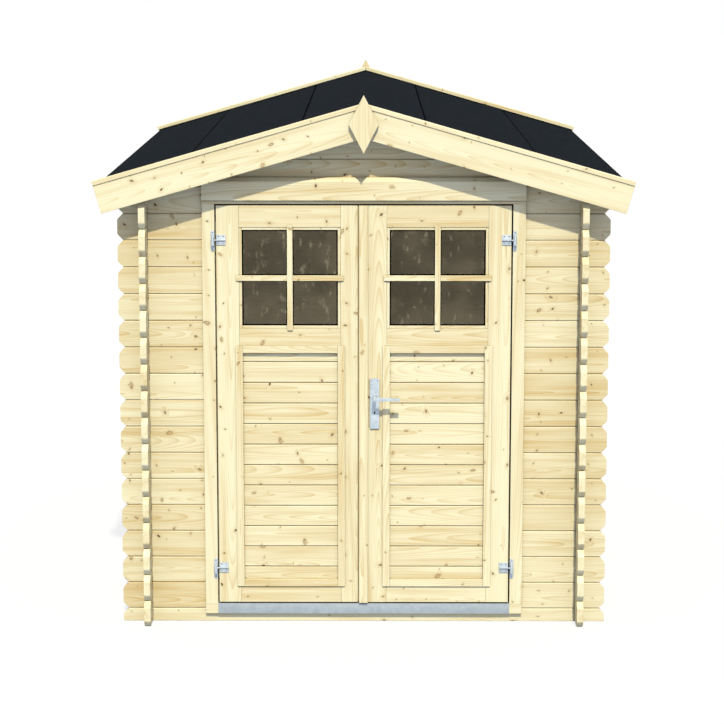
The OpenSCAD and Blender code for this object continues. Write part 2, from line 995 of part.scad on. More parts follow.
floor_bearers();
floor_deck();
left_wall();
right_wall();
rear_wall();
rear_gable();
front_bottom_log();
front_wall_left();
front_wall_right();
front_gable();
ridge_purlin();
side_purlins();
roof_deck_left();
roof_deck_right();
felt_lower();
felt_middle();
felt_ridge();
front_fascia();
rear_fascia();
front_cover_strips();
rear_cover_strips();
front_finial();
rear_finial();
door_sill();
sill_plate();
door_jamb_left();
door_jamb_right();
door_head();
door_header_board();
frame_hinges();
left_door_frame();
left_door_panel();
left_door_mould();
left_door_glass();
left_door_beads();
left_door_hinges();
right_door_frame();
right_door_panel();
right_door_mould();
right_door_glass();
right_door_beads();
right_door_hinges();
meeting_strip();
lock_plates();
door_handle();
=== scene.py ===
# %% [markdown]
# # Dressing a garden shed of interlocking logs
# The shed comes as a set of finished solids: every log, board, bead and hinge at its real size and place.
# This lesson gives them their looks: spruce with grain and knots, felt, zinc and glass, and the small
# pieces that are left to this step, such as boards, glazing bars and screws.

# %% The solids
import json
import math
import random

import bmesh
import bpy
from mathutils import Matrix, Vector


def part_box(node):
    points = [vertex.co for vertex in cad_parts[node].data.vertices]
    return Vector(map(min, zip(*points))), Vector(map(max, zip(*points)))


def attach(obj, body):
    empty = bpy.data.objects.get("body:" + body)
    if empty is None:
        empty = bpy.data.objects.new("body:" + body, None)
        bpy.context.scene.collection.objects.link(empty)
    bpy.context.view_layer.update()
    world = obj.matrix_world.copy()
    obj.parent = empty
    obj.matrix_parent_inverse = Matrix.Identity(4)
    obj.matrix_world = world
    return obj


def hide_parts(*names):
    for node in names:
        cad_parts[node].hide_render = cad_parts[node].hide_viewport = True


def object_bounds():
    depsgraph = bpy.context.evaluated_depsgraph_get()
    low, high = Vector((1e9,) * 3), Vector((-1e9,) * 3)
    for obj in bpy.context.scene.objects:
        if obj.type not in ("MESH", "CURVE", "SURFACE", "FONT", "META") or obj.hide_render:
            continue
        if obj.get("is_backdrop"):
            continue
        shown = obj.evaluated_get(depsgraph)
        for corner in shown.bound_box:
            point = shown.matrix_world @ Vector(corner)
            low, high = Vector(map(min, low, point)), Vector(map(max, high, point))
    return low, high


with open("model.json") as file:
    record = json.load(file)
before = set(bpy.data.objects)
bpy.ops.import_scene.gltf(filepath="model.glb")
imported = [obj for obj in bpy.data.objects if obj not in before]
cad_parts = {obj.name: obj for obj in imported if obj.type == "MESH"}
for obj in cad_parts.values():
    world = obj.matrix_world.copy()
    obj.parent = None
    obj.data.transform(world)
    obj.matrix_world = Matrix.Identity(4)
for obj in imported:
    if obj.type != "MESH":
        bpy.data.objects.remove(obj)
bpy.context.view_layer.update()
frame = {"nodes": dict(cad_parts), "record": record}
solids = frame["nodes"]
bodies = frame["record"]["behaviour"]["bodies"]
BODY_OF = {node: body for body, members in bodies.items() for node in members}
SLOT_OF = {part["node"]: part["material_slot"] for part in frame["record"]["subparts"]}
MM = 0.001
X_AXIS = Vector((1, 0, 0))
Y_AXIS = Vector((0, 1, 0))
Z_AXIS = Vector((0, 0, 1))

# %% [markdown]
# ## Camera
# The picture is taken square from the front with a long lens, from well above the doors, and upright
# lines stay upright. A level camera with a large shift would give that exactly. A large shift also pushes
# the shed out of every other view, so the camera looks down by a few degrees and keeps only a small shift.

# %% Camera
CAMERA_PLACE = (0.035, -9.989, 2.918)
LOOK_DOWN = 8.41
LOOK_ASIDE = 0.279

lens = bpy.data.cameras.new("camera")
lens.lens = 103.06
lens.sensor_width = 36
lens.shift_y = -0.15
camera = bpy.data.objects.new("camera", lens)
camera.location = CAMERA_PLACE
camera.rotation_euler = (math.radians(90 - LOOK_DOWN), 0, math.radians(LOOK_ASIDE))
bpy.context.scene.collection.objects.link(camera)
bpy.context.scene.camera = camera
print("camera at", camera.location[:])

# %% [markdown]
# ## Shader arithmetic
# Wood grain is mostly arithmetic on coordinates. Placing Math nodes by hand hides it, so one small class
# wraps a socket, and a sum or product of sockets adds the Math nodes by itself. Every other node comes
# from its `node` method, which sets the node's options first and then fills or links its sockets.

# %% Sockets that do arithmetic
class Shade:
    """A socket of a shader tree. Arithmetic on sockets and numbers adds Math nodes."""

    def __init__(self, tree, socket=None):
        self.tree = tree
        self.socket = socket

    def node(self, kind, options=None, sockets=None, output=0):
        made = self.tree.nodes.new(kind)
        for name, value in (options or {}).items():
            setattr(made, name, value)
        for name, value in (sockets or {}).items():
            if isinstance(value, Shade):
                self.tree.links.new(value.socket, made.inputs[name])
            else:
                made.inputs[name].default_value = value
        return Shade(self.tree, made.outputs[output])

    def other(self, output):
        return Shade(self.tree, self.socket.node.outputs[output])

    def calc(self, operation, *values):
        return self.node("ShaderNodeMath", {"operation": operation}, dict(enumerate(values)))

    def __add__(self, value):
        return self.calc("ADD", self, value)

    __radd__ = __add__

    def __sub__(self, value):
        return self.calc("SUBTRACT", self, value)

    def __rsub__(self, value):
        return self.calc("SUBTRACT", value, self)

    def __mul__(self, value):
        return self.calc("MULTIPLY", self, value)

    __rmul__ = __mul__

    def __truediv__(self, value):
        return self.calc("DIVIDE", self, value)

    def __pow__(self, value):
        return self.calc("POWER", self, value)

    def __lt__(self, value):
        return self.calc("LESS_THAN", self, value)

    def rise(self, low, high):
        """A smooth step from 0 at low to 1 at high."""
        return self.node(
            "ShaderNodeMapRange",
            {"interpolation_type": "SMOOTHSTEP"},
            {"Value": self, "From Min": low, "From Max": high},
        )

    def vector(self, operation, *values, output=0):
        options = {"operation": operation}
        return self.node("ShaderNodeVectorMath", options, dict(enumerate(values)), output)

    def mixed(self, share, first, second):
        """A colour between two colours."""
        options = {"data_type": "RGBA", "clamp_factor": True}
        return self.node("ShaderNodeMix", options, {0: share, 6: first, 7: second}, 2)

    def noise(self, place, scale, detail=2.0):
        return self.node("ShaderNodeTexNoise", None, {"Vector": place, "Scale": scale, "Detail": detail})

    def stretched_noise(self, place, per_metre, detail=2.0):
        """Noise that changes at another rate along each axis."""
        return self.noise(self.vector("MULTIPLY", place, per_metre), 1, detail)


def linear(value):
    """A level from 0 to 255, as a picture stores it on the sRGB curve, as the light that it stands for."""
    share = value / 255
    return share / 12.92 if share <= 0.04045 else ((share + 0.055) / 1.055) ** 2.4


def paint(red, green, blue):
    return (linear(red), linear(green), linear(blue), 1)


def new_finish(name):
    material = bpy.data.materials.new(name)
    material.use_nodes = True
    material.node_tree.nodes.clear()
    return material, Shade(material.node_tree)


def close_finish(shade, surface, kind="ShaderNodeOutputMaterial"):
    output = shade.tree.nodes.new(kind)
    shade.tree.links.new(surface.socket, output.inputs["Surface"])


print("linear mid grey:", round(linear(128), 3))

# %% [markdown]
# ## Light and floor
# The light is a bright, high sun from the front, a little to the right, which draws crisp shadows under
# the eaves. The sky fills the shade with a cooler light. The background is white to the camera and in
# reflections only, so that it doesn't light the shed, and the floor keeps the shed's shadow.

# %% Sun and sky
SUN_HEIGHT = 52
SUN_ASIDE = 5.5
SUN_SIZE = 1.2
SUN_COLOUR = (1.0, 0.955, 0.79)
SUN_STRENGTH = 3.07
SKY_COLOUR = (0.46, 0.5, 0.615, 1)
WHITE = (1, 1, 1, 1)

sun_data = bpy.data.lights.new("sun", "SUN")
sun_data.energy = SUN_STRENGTH
sun_data.color = SUN_COLOUR
sun_data.angle = math.radians(SUN_SIZE)
sun = bpy.data.objects.new("sun", sun_data)
sun.rotation_euler = (math.radians(90 - SUN_HEIGHT), 0, math.radians(SUN_ASIDE))
bpy.context.scene.collection.objects.link(sun)


def seen_directly(shade):
    """1 on rays from the camera, in reflections and through glass, and 0 on rays that carry light."""
    path = shade.node("ShaderNodeLightPath", output="Is Camera Ray")
    glossy = path.other("Is Glossy Ray")
    through = path.other("Is Transmission Ray")
    return path.calc("MAXIMUM", path.calc("MAXIMUM", path, glossy), through)


world = bpy.data.worlds.new("sky")
world.use_nodes = True
world.node_tree.nodes.clear()
sky = Shade(world.node_tree)
sky_colour = sky.mixed(seen_directly(sky), SKY_COLOUR, WHITE)
close_finish(sky, sky.node("ShaderNodeBackground", None, {"Color": sky_colour}), "ShaderNodeOutputWorld")
bpy.context.scene.world = world
bpy.context.scene.view_settings.view_transform = "Standard"
print("sun", SUN_HEIGHT, "degrees high")

# %% Floor
FLOOR_SIZE = 60
FLOOR_BOUNCE = (0.33, 0.38, 0.50, 1)
FLOOR_PALE = (0.97, 0.95, 0.92, 1)
FLOOR_GLOW = 0.8

floor_finish, ground = new_finish("floor")
lit = ground.node("ShaderNodeBsdfDiffuse", None, {"Color": FLOOR_BOUNCE})
pale = ground.node("ShaderNodeBsdfDiffuse", None, {"Color": FLOOR_PALE})
glow = ground.node("ShaderNodeEmission", None, {"Color": WHITE})
shown = ground.node("ShaderNodeMixShader", None, {0: FLOOR_GLOW, 1: pale, 2: glow})
ground_surface = ground.node("ShaderNodeMixShader", None, {0: seen_directly(ground), 1: lit, 2: shown})
close_finish(ground, ground_surface)
plan = bmesh.new()
bmesh.ops.create_grid(plan, x_segments=1, y_segments=1, size=FLOOR_SIZE)
floor_mesh = bpy.data.meshes.new("floor")
plan.to_mesh(floor_mesh)
plan.free()
floor_mesh.materials.append(floor_finish)
floor = bpy.data.objects.new("floor", floor_mesh)
bpy.context.scene.collection.objects.link(floor)
floor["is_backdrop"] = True
print("floor reaches", FLOOR_SIZE, "m each way")

# %% [markdown]
# ## Spruce
# Untreated spruce is a pale cream wood. Each board is a slice of a trunk, so its lines are growth rings
# cut along their length: straight beside the edges and arched in the middle. Small dark knots and a few
# brown branches run through the board, and the rings flow round them. The rings are worked out as
# distances from a pith line, which lies at another place in every board, and the knots are cells of a
# Voronoi pattern stretched along the board. Every board carries its own coordinates in an attribute called
# `grain`: metres along it, across it and through it.
#
# Joints and the wood right under a ledge get painted shade: their colour is darkened where little light
# gets in, on top of the shade that the lamps give. Painting them as lines would need their places, so the
# material asks how
# much of the near surroundings is open: that is an Ambient Occlusion node with a reach of a few
# millimetres. It looks out a little above the face, towards the light, so that a ledge darkens the wood
# below it and not the wood above. It looks once to the left and once to the right, and the more open look
# counts: a slot is closed both ways, and the foot of a single step is not.

# %% Painted shade in joints
JOINT_REACH = 9 * MM
JOINT_LOOKS = 5
LOOK_OUT = 0.6
LOOK_UP = 0.5
CLOSED = (0.15, 0.4)
FACES_UP = (0.7, 0.05)
DARK_ON_TOP = 0.15
JOINT_PAINTED_SHADE = paint(26, 21, 11)
BOUNCE_CUT = 0.7
BLACK = (0, 0, 0, 1)


def painted_shade_share(shade):
    """How much painted shade a place gets: 1 deep in a joint or right under a ledge, less on faces that
    look up, and 0 on open faces.
    """
    facing = shade.node("ShaderNodeNewGeometry", output="Normal")
    open_to = []
    for aside in (-LOOK_OUT, LOOK_OUT):
        outlook = shade.vector("NORMALIZE", shade.vector("ADD", facing, (aside, 0, LOOK_UP)))
        sockets = {"Distance": JOINT_REACH, "Normal": outlook}
        open_to.append(shade.node("ShaderNodeAmbientOcclusion", {"samples": JOINT_LOOKS}, sockets, "AO"))
    openness = shade.calc("MAXIMUM", *open_to)
    height = shade.node("ShaderNodeSeparateXYZ", None, {0: facing}, "Z")
    share = height.rise(*FACES_UP) * (1 - DARK_ON_TOP) + DARK_ON_TOP
    return (1 - openness).rise(*CLOSED) * share


def less_bounce(shade, colour):
    """The same colour to the eye, but darker to light that goes on to other faces."""
    bounced = shade.node("ShaderNodeLightPath", output="Is Diffuse Ray")
    return shade.mixed(bounced * BOUNCE_CUT, colour, BLACK)


print("joints look", JOINT_REACH, "m around")

# %% Knots
# Cells in a metre along and across the wood, the smallest radius and how much larger it may be
SMALL_KNOTS = ((9.0, 16.0), 1.9 * MM, 4.6 * MM)
BRANCH_KNOTS = ((2.7, 9.0), 6 * MM, 6 * MM)
BRANCH_SHARE = 0.34
KNOT_SHAPE = (0.68, 1.15, 0)
FULL_TURN = 2 * math.pi


def knots(wood, grain, cells_per_metre, smallest, spread, share):
    """How many radii a place is from its knot, whether the knot is there, and how dark it is."""
    cells = wood.vector("MULTIPLY", grain, (*cells_per_metre, 0))
    heart = wood.node(
        "ShaderNodeTexVoronoi",
        {"voronoi_dimensions": "2D"},
        {"Vector": cells, "Scale": 1, "Randomness": 0.9},
        "Position",
    )
    luck = wood.node("ShaderNodeSeparateColor", None, {0: heart.other("Color")})
    cell_size = [1 / count for count in cells_per_metre]
    offset = wood.vector("MULTIPLY", wood.vector("SUBTRACT", cells, heart), (*cell_size, 0))
    turn = luck.other("Blue") * FULL_TURN
    sockets = {"Vector": offset, "Angle": turn}
    turned = wood.node("ShaderNodeVectorRotate", {"rotation_type": "Z_AXIS"}, sockets)
    distance = wood.vector("LENGTH", wood.vector("MULTIPLY", turned, KNOT_SHAPE), output="Value")
    reach = distance / (luck.other("Green") ** 2 * spread + smallest)
    return reach, luck < share, wood.calc("FRACT", turn)


print("a branch in", BRANCH_SHARE, "of its cells")

# %% Knots, branches and bark
MIDDLE = 0.5
KNOT_EDGE = (230, 230, 0)
BRANCH_EDGE = (110, 110, 0)
BRANCH_TEAR = 1.6
# Where each mark begins and ends, in radii of its knot
KNOT_FADE = (0.6, 1.15)
KNOT_HALO = (0.9, 4)
BRANCH_FADE = (0.7, 1.2)
BRANCH_HALO = (0.8, 2.6)
BARK_FADE = (0.45, 0.85)
FAINTEST_KNOT = 0.45
FAINTEST_BARK = 0.4


def knot_marks(wood, grain, face_grain, knot_share):
    """Masks of dark knots, of brown branches, of their bark and of the wood that bends round them."""
    ragged = wood.stretched_noise(grain, KNOT_EDGE) - MIDDLE
    reach, present, luck = knots(wood, grain, *SMALL_KNOTS, knot_share)
    here = present * face_grain
    knot = (1 - (reach + ragged).rise(*KNOT_FADE)) * here * (luck * (1 - FAINTEST_KNOT) + FAINTEST_KNOT)
    halo = (1 - reach.rise(*KNOT_HALO)) * here
    torn = (wood.stretched_noise(grain, BRANCH_EDGE, 3) - MIDDLE) * BRANCH_TEAR
    reach, present, luck = knots(wood, grain, *BRANCH_KNOTS, BRANCH_SHARE)
    here = present * face_grain
    branch = (1 - (reach + torn).rise(*BRANCH_FADE)) * here
    bark = branch * (reach + torn).rise(*BARK_FADE) * (luck * (1 - FAINTEST_BARK) + FAINTEST_BARK)
    halo = wood.calc("MAXIMUM", halo, (1 - reach.rise(*BRANCH_HALO)) * here)
    return knot, branch, bark, halo


print("knots fade between", KNOT_FADE, "radii")

# %% Growth rings
RING_PITCH = 4.6 * MM
RING_WANDER = 22 * MM
RING_SWERVE = 5 * MM
# How often a pattern changes in a metre along, across and through the wood
WANDER = (1.3, 7, 7)
STREAKS = (1.1, 42, 42)
FIBRES = (14, 700, 700)
CLOUDS = (2.2, 12, 12)
STREAK_FADE = (0.4, 0.75)
CLOUD_FADE = (0.3, 0.7)
# How much each pattern shows, and the level that the figure swings about
RINGS_SHOW = 0.5
STREAKS_SHOW = 0.44
CLOUDS_SHOW = 0.26
FIBRES_SHOW = 0.14
FIGURE_LEVEL = 0.46


def growth(wood, grain, halo):
    """Masks of late wood and fibre, and the figure that they make together with streaks and clouds."""
    split = wood.node("ShaderNodeSeparateXYZ", None, {0: grain})
    across = split.other("Y")
    through = split.other("Z")
    from_pith = (across * across + through * through) ** 0.5
    wander = wood.stretched_noise(grain, WANDER) - MIDDLE
    ring = from_pith + wander * RING_WANDER + halo * RING_SWERVE
    late = wood.calc("FRACT", ring / RING_PITCH) ** 3
    streak = wood.stretched_noise(grain, STREAKS, 3).rise(*STREAK_FADE)
    fibre = wood.stretched_noise(grain, FIBRES)
    cloud = wood.stretched_noise(grain, CLOUDS).rise(*CLOUD_FADE)
    figure = late * RINGS_SHOW + streak * STREAKS_SHOW + cloud * CLOUDS_SHOW + fibre * FIBRES_SHOW
    return late, fibre, figure - FIGURE_LEVEL


print("a growth ring every", RING_PITCH, "m")

# %% Spruce
PALE = paint(255, 245, 204)
DEEP = paint(222, 190, 124)
HALO_TAN = paint(216, 180, 116)
BRANCH_BROWN = paint(190, 150, 98)
KNOT_DARK = paint(66, 48, 26)
TONE_RANGE = 0.36
END_PALER = 0.2
HALO_SHARE = 0.3
BRANCH_DEPTH = 0.5
BARK_DEPTH = 0.8
GRAIN_HEIGHT = 0.4 * MM


def spruce(name, knot_share, depth, contrast, bump):
    """Spruce with a share of knotty cells, the depth and contrast of its tone and a rough grain."""
    material, wood = new_finish(name)
    grain = wood.node("ShaderNodeAttribute", {"attribute_name": "grain"}, output="Vector")
    tone = wood.node("ShaderNodeAttribute", {"attribute_name": "tone"}, output="Fac")
    end_grain = wood.node("ShaderNodeAttribute", {"attribute_name": "end_grain"}, output="Fac")
    knot, branch, bark, halo = knot_marks(wood, grain, 1 - end_grain, knot_share)
    late, fibre, figure = growth(wood, grain, halo)

    shade = figure * contrast + tone * TONE_RANGE - end_grain * END_PALER + depth
    colour = wood.mixed(shade, PALE, DEEP)
    colour = wood.mixed(halo * HALO_SHARE, colour, HALO_TAN)
    colour = wood.mixed(branch * BRANCH_DEPTH, colour, BRANCH_BROWN)
    colour = wood.mixed(wood.calc("MAXIMUM", knot, bark * BARK_DEPTH), colour, KNOT_DARK)
    # Painted shade: the colour darkens in joints and under ledges.
    colour = less_bounce(wood, wood.mixed(painted_shade_share(wood), colour, JOINT_PAINTED_SHADE))
    height = late * 0.4 + fibre * 0.5 - knot * 0.5
    sockets = {"Strength": bump, "Distance": GRAIN_HEIGHT, "Height": height}
    normal = wood.node("ShaderNodeBump", None, sockets)
    surface = wood.node(
        "ShaderNodeBsdfPrincipled",
        None,
        {
            "Base Color": colour,
            "Roughness": 0.55 + late * 0.12,
            "Specular IOR Level": 0.25,
            "Normal": normal,
        },
    )
    close_finish(wood, surface)
    return material


FINISH = {
    "log_wood": spruce("log_wood", knot_share=0.5, depth=0.2, contrast=1.0, bump=0.5),
    "planed_wood": spruce("planed_wood", knot_share=0.55, depth=0.1, contrast=0.85, bump=0.4),
    "joinery_wood": spruce("joinery_wood", knot_share=0.45, depth=0.13, contrast=1.0, bump=0.35),
}
print("finishes:", sorted(FINISH))

# %% [markdown]
# ## Felt, metal, glass and rubber
# The felt is bitumen sheet with crushed slate pressed into it: almost black, rough, with a fine sparkle
# of lighter grains. The ironwork is zinc-plated, with faint crystals in the plating. The sill is a duller
# strip of aluminium. The panes reflect the bright surroundings and show a dim room behind them. Grains and
# crystals are cells of a Voronoi pattern in metres, so they keep their size on every piece.

# %% Felt
FELT_BLACK = paint(5, 9, 13)
FELT_GREY = paint(26, 34, 43)
SLATE_PER_METRE = 420
MOTTLES_PER_METRE = 70
PATCHES_PER_METRE = 9
SLATE_HEIGHT = 0.8 * MM


def slate_felt():
    material, felt = new_finish("roof_felt")
    place = felt.node("ShaderNodeTexCoord", output="Object")
    sockets = {"Vector": place, "Scale": SLATE_PER_METRE}
    grains = felt.node("ShaderNodeTexVoronoi", None, sockets, "Color")
    speck = felt.node("ShaderNodeSeparateColor", None, {0: grains})
    patch = felt.noise(place, PATCHES_PER_METRE, 3).rise(0.3, 0.7)
    mottle = felt.noise(place, MOTTLES_PER_METRE).rise(0.35, 0.7)
    light = speck ** 3 * 0.5 + patch * 0.25 + mottle * 0.25
    colour = felt.mixed(light, FELT_BLACK, FELT_GREY)
    sockets = {"Strength": 0.6, "Distance": SLATE_HEIGHT, "Height": speck}
    normal = felt.node("ShaderNodeBump", None, sockets)
    sockets = {"Base Color": colour, "Roughness": 0.85 + patch * 0.1, "Normal": normal}
    sockets["Specular IOR Level"] = 0.02
    close_finish(felt, felt.node("ShaderNodeBsdfPrincipled", None, sockets))
    return material


FINISH["roof_felt"] = slate_felt()
print("felt has", SLATE_PER_METRE, "grains in a metre")

# %% Zinc and aluminium
# The colour of painted shade on metal, and how far it darkens
METAL_PAINTED_SHADE = paint(28, 30, 32)
METAL_SHADE_SHARE = 0.9
SMEARS_PER_METRE = 35
GRIT_PER_METRE = 600
GRIT_HEIGHT = 0.2 * MM


def plated(name, bright, dull, crystals_per_metre, rough):
    material, metal = new_finish(name)
    place = metal.node("ShaderNodeTexCoord", output="Object")
    sockets = {"Vector": place, "Scale": crystals_per_metre}
    crystals = metal.node("ShaderNodeTexVoronoi", None, sockets, "Color")
    facet = metal.node("ShaderNodeSeparateColor", None, {0: crystals})
    smear = metal.noise(place, SMEARS_PER_METRE, 3).rise(0.35, 0.75)
    colour = metal.mixed(facet * 0.5 + smear * 0.5, bright, dull)
    # Painted shade: the colour darkens in joints and under ledges, as on the wood.
    colour = metal.mixed(painted_shade_share(metal) * METAL_SHADE_SHARE, colour, METAL_PAINTED_SHADE)
    grit = metal.noise(place, GRIT_PER_METRE)
    normal = metal.node("ShaderNodeBump", None, {"Strength": 0.15, "Distance": GRIT_HEIGHT, "Height": grit})
    sockets = {"Base Color": colour, "Metallic": 0.3, "Roughness": rough + facet * 0.1 + smear * 0.08}
    sockets["Normal"] = normal
    close_finish(metal, metal.node("ShaderNodeBsdfPrincipled", None, sockets))
    return material


ZINC = (paint(222, 231, 238), paint(186, 200, 210))
ALUMINIUM = (paint(188, 198, 204), paint(170, 181, 188))
FINISH["ironwork"] = plated("ironwork", *ZINC, crystals_per_metre=160, rough=0.36)
FINISH["sill_metal"] = plated("sill_metal", *ALUMINIUM, crystals_per_metre=60, rough=0.42)
print("metals: ironwork and sill_metal")

# %% Glass and rubber
WARM_REFLECTION = paint(255, 240, 206)
PANE_TINT = (0.62, 0.60, 0.55, 1)
FLECKS = (60, 60, 26)
FLECK_FADE = (0.58, 0.78)
FLECK_COVER = 0.12
HAZE_PER_METRE = 5
HAZE_COVER = 0.045
DUST_COVER = 0.013
WEAR_PER_METRE = 120


def pane():
    material, glass = new_finish("pane")
    place = glass.node("ShaderNodeTexCoord", output="Object")
    flecks = glass.stretched_noise(place, FLECKS, 3).rise(*FLECK_FADE)
    haze = glass.noise(place, HAZE_PER_METRE, 3).rise(0.3, 0.7)
    clear = glass.node("ShaderNodeBsdfTransparent", None, {"Color": PANE_TINT})
    sockets = {"Base Color": WARM_REFLECTION, "Metallic": 1, "Roughness": 0.03 + flecks * 0.1}
    shine = glass.node("ShaderNodeBsdfPrincipled", None, sockets)
    facing = glass.node("ShaderNodeFresnel", None, {"IOR": 1.5})
    cover = facing + haze * HAZE_COVER + flecks * FLECK_COVER + DUST_COVER
    close_finish(glass, glass.node("ShaderNodeMixShader", None, {0: cover, 1: clear, 2: shine}))
    return material


def rubber(name, fresh, worn):
    material, seal = new_finish(name)
    place = seal.node("ShaderNodeTexCoord", output="Object")
    colour = seal.mixed(seal.noise(place, WEAR_PER_METRE), fresh, worn)
    sockets = {"Base Color": colour, "Roughness": 0.8, "Specular IOR Level": 0}
    close_finish(seal, seal.node("ShaderNodeBsdfPrincipled", None, sockets))
    return material


FINISH["pane"] = pane()
BLACK_RUBBER = rubber("black_rubber", paint(4, 4, 4), paint(15, 14, 12))
TAN_RUBBER = rubber("tan_rubber", paint(220, 196, 146), paint(232, 210, 162))
print("finishes:", sorted(FINISH))

# %% [markdown]
# ## From solids to softened wood
# A sawn edge is never a perfect line: it is eased, and it catches the light. The solids have sharp edges,
# so each piece of wood is a copy whose loose triangles are joined, whose flat faces are made whole and
# whose edges get a small bevel. A bevel is held back by the shortest edge near it, so every log is
# bevelled by itself. Then each log gets its grain: along its longest edge, with its pith at a place of its
# own. The grain is kept for each corner of a face, because a narrow edge has to swap the directions across
# and through the wood: otherwise a knot would run over the whole edge as a bar.

# %% Copies of solids
WELD = 0.02 * MM
FLAT = math.radians(1)
SHARP = math.radians(20)
EDGE_SEGMENTS = 2


def copy_of(node):
    copied = bmesh.new()
    copied.from_mesh(solids[node].data)
    bmesh.ops.remove_doubles(copied, verts=copied.verts, dist=WELD)
    bmesh.ops.dissolve_limit(copied, angle_limit=FLAT, verts=copied.verts, edges=copied.edges)
    return copied


def separate_solids(shape):
    """The vertices of each solid in a mesh, in the order of their first vertices."""
    seen = set()
    found = []
    for start in shape.verts:
        if start in seen:
            continue
        seen.add(start)
        solid = [start]
        for vert in solid:
            for edge in vert.link_edges:
                beside = edge.other_vert(vert)
                if beside not in seen:
                    seen.add(beside)
                    solid.append(beside)
        found.append(solid)
    return found


def edges_of(solid):
    return list(dict.fromkeys(edge for vert in solid for edge in vert.link_edges))


def bevel(shape, edges, width, segments):
    bmesh.ops.bevel(
        shape,
        geom=edges,
        offset=width,
        offset_type="OFFSET",
        segments=segments,
        profile=0.5,
        affect="EDGES",
        clamp_overlap=True,
        material=-1,
    )


def soften(shape, width):
    for solid in separate_solids(shape):
        sharp = [edge for edge in edges_of(solid) if edge.calc_face_angle(0) > SHARP]
        bevel(shape, sharp, width, EDGE_SEGMENTS)


print("left wall:", len(separate_solids(copy_of("left_wall"))), "logs")

# %% Grain
TRUNK_LENGTH = 40
PITH_ASIDE = 0.04
PITH_DEEP = (0.02, 0.09)
PITH_LEAN = 0.05
NEARLY_ALONG = 0.9
END_FACE = 0.7


def span(solid, axis):
    places = [vert.co.dot(axis) for vert in solid]
    return min(places), max(places)


def wood_axes(solid, along):
    """The directions along, across and through a piece of wood."""
    longest = max(edges_of(solid), key=lambda edge: edge.calc_length())
    length = along or (longest.verts[1].co - longest.verts[0].co).normalized()
    side = Y_AXIS if abs(length.y) < NEARLY_ALONG else X_AXIS
    axes = [side, length.cross(side).normalized()]
    axes.sort(key=lambda axis: span(solid, axis)[1] - span(solid, axis)[0], reverse=True)
    return [length, *axes]


def lay_grain(shape, seed, along=None):
    """Gives each solid its own coordinates along, across and through the wood, and its own tone."""
    draw = random.Random(seed)
    shape.normal_update()
    grain = shape.loops.layers.float_vector.new("grain")
    tone = shape.loops.layers.float.new("tone")
    end_grain = shape.loops.layers.float.new("end_grain")
    for solid in separate_solids(shape):
        axes = wood_axes(solid, along)
        start = (
            draw.uniform(0, TRUNK_LENGTH),
            draw.uniform(-PITH_ASIDE, PITH_ASIDE),
            draw.uniform(*PITH_DEEP),
        )
        lean = draw.uniform(-PITH_LEAN, PITH_LEAN)
        shift = Vector([begin - sum(span(solid, axis)) / 2 for begin, axis in zip(start, axes)])
        level = draw.random()
        for face in dict.fromkeys(face for vert in solid for face in vert.link_faces):
            on_end, on_edge, on_flat = [abs(face.normal.dot(axis)) for axis in axes]
            for corner in face.loops:
                place = Vector([corner.vert.co.dot(axis) for axis in axes]) + shift
                place.z += lean * (place.x - start[0])
                corner[grain] = place.xzy if on_edge > on_flat else place
                corner[tone] = level
                corner[end_grain] = on_end > END_FACE


print("the pith leans by up to", PITH_LEAN)

# %% Pieces
SOFT_EDGE = 1 * MM


def add_piece(name, shape, finish, body, replaced=()):
    mesh = bpy.data.meshes.new(name)
    shape.to_mesh(mesh)
    shape.free()
    mesh.materials.append(finish)
    made = bpy.data.objects.new(name, mesh)
    bpy.context.scene.collection.objects.link(made)
    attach(made, body)
    if replaced:
        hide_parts(*replaced)
    return made


def wooden(node, shape=None, width=SOFT_EDGE, along=None):
    """Stands a softened piece of wood in for a solid."""
    wood = shape or copy_of(node)
    soften(wood, width)
    lay_grain(wood, node, along)
    slot = SLOT_OF[node]
    add_piece(f"{node}_wood", wood, FINISH[slot], BODY_OF[node], [node])


print("edges are eased by", SOFT_EDGE, "m")

# %% Logs, purlins and trim
LOG_NODES = [node for node, slot in SLOT_OF.items() if slot == "log_wood"]
BOARDED = ["floor_deck", "roof_deck_left", "roof_deck_right", "left_door_panel", "right_door_panel"]
UPRIGHT_GRAIN = ["front_finial", "rear_finial"]
TRIM_EDGE = 2 * MM
WOOD_NODES = [node for node, slot in SLOT_OF.items() if slot.endswith("_wood")]
STICKS = [node for node in WOOD_NODES if node not in LOG_NODES + BOARDED]
for node in LOG_NODES:
    wooden(node)
for node in STICKS:
    eased = TRIM_EDGE if node.endswith(("fascia", "strips")) else SOFT_EDGE
    wooden(node, None, eased, Z_AXIS if node in UPRIGHT_GRAIN else None)
print(len(LOG_NODES), "log pieces and", len(STICKS), "planed pieces")

# %% [markdown]
# ## Boards
# The door panels, the floor and the roof are boards, not slabs. A board could be a new box, but then the
# mitre at the ridge would have to be made again, so each slab is cut instead: two cuts leave one board,
# its open ends are filled, and a chamfer along its edges makes the V of each joint. The boards of the doors
# stand a little apart, and a tongue closes each gap halfway through the wood.

# %% One board
LONG_SHARE = 0.9


def block(shape, x, y, z):
    """Adds a box between two places along each axis, and gives its corners."""
    low = Vector((min(x), min(y), min(z)))
    high = Vector((max(x), max(y), max(z)))
    corners = bmesh.ops.create_cube(shape, size=1)["verts"]
    bmesh.ops.scale(shape, vec=high - low, verts=corners)
    bmesh.ops.translate(shape, vec=(low + high) / 2, verts=corners)
    return corners


def one_board(slab, axis, low, high):
    board = slab.copy()
    for place, outward in ((low, -axis), (high, axis)):
        everything = [*board.verts, *board.edges, *board.faces]
        cut = bmesh.ops.bisect_plane(
            board, geom=everything, dist=WELD, plane_co=axis * place, plane_no=outward, clear_outer=True
        )
        rim = [item for item in cut["geom_cut"] if isinstance(item, bmesh.types.BMEdge)]
        bmesh.ops.edgeloop_fill(board, edges=rim)
    return board


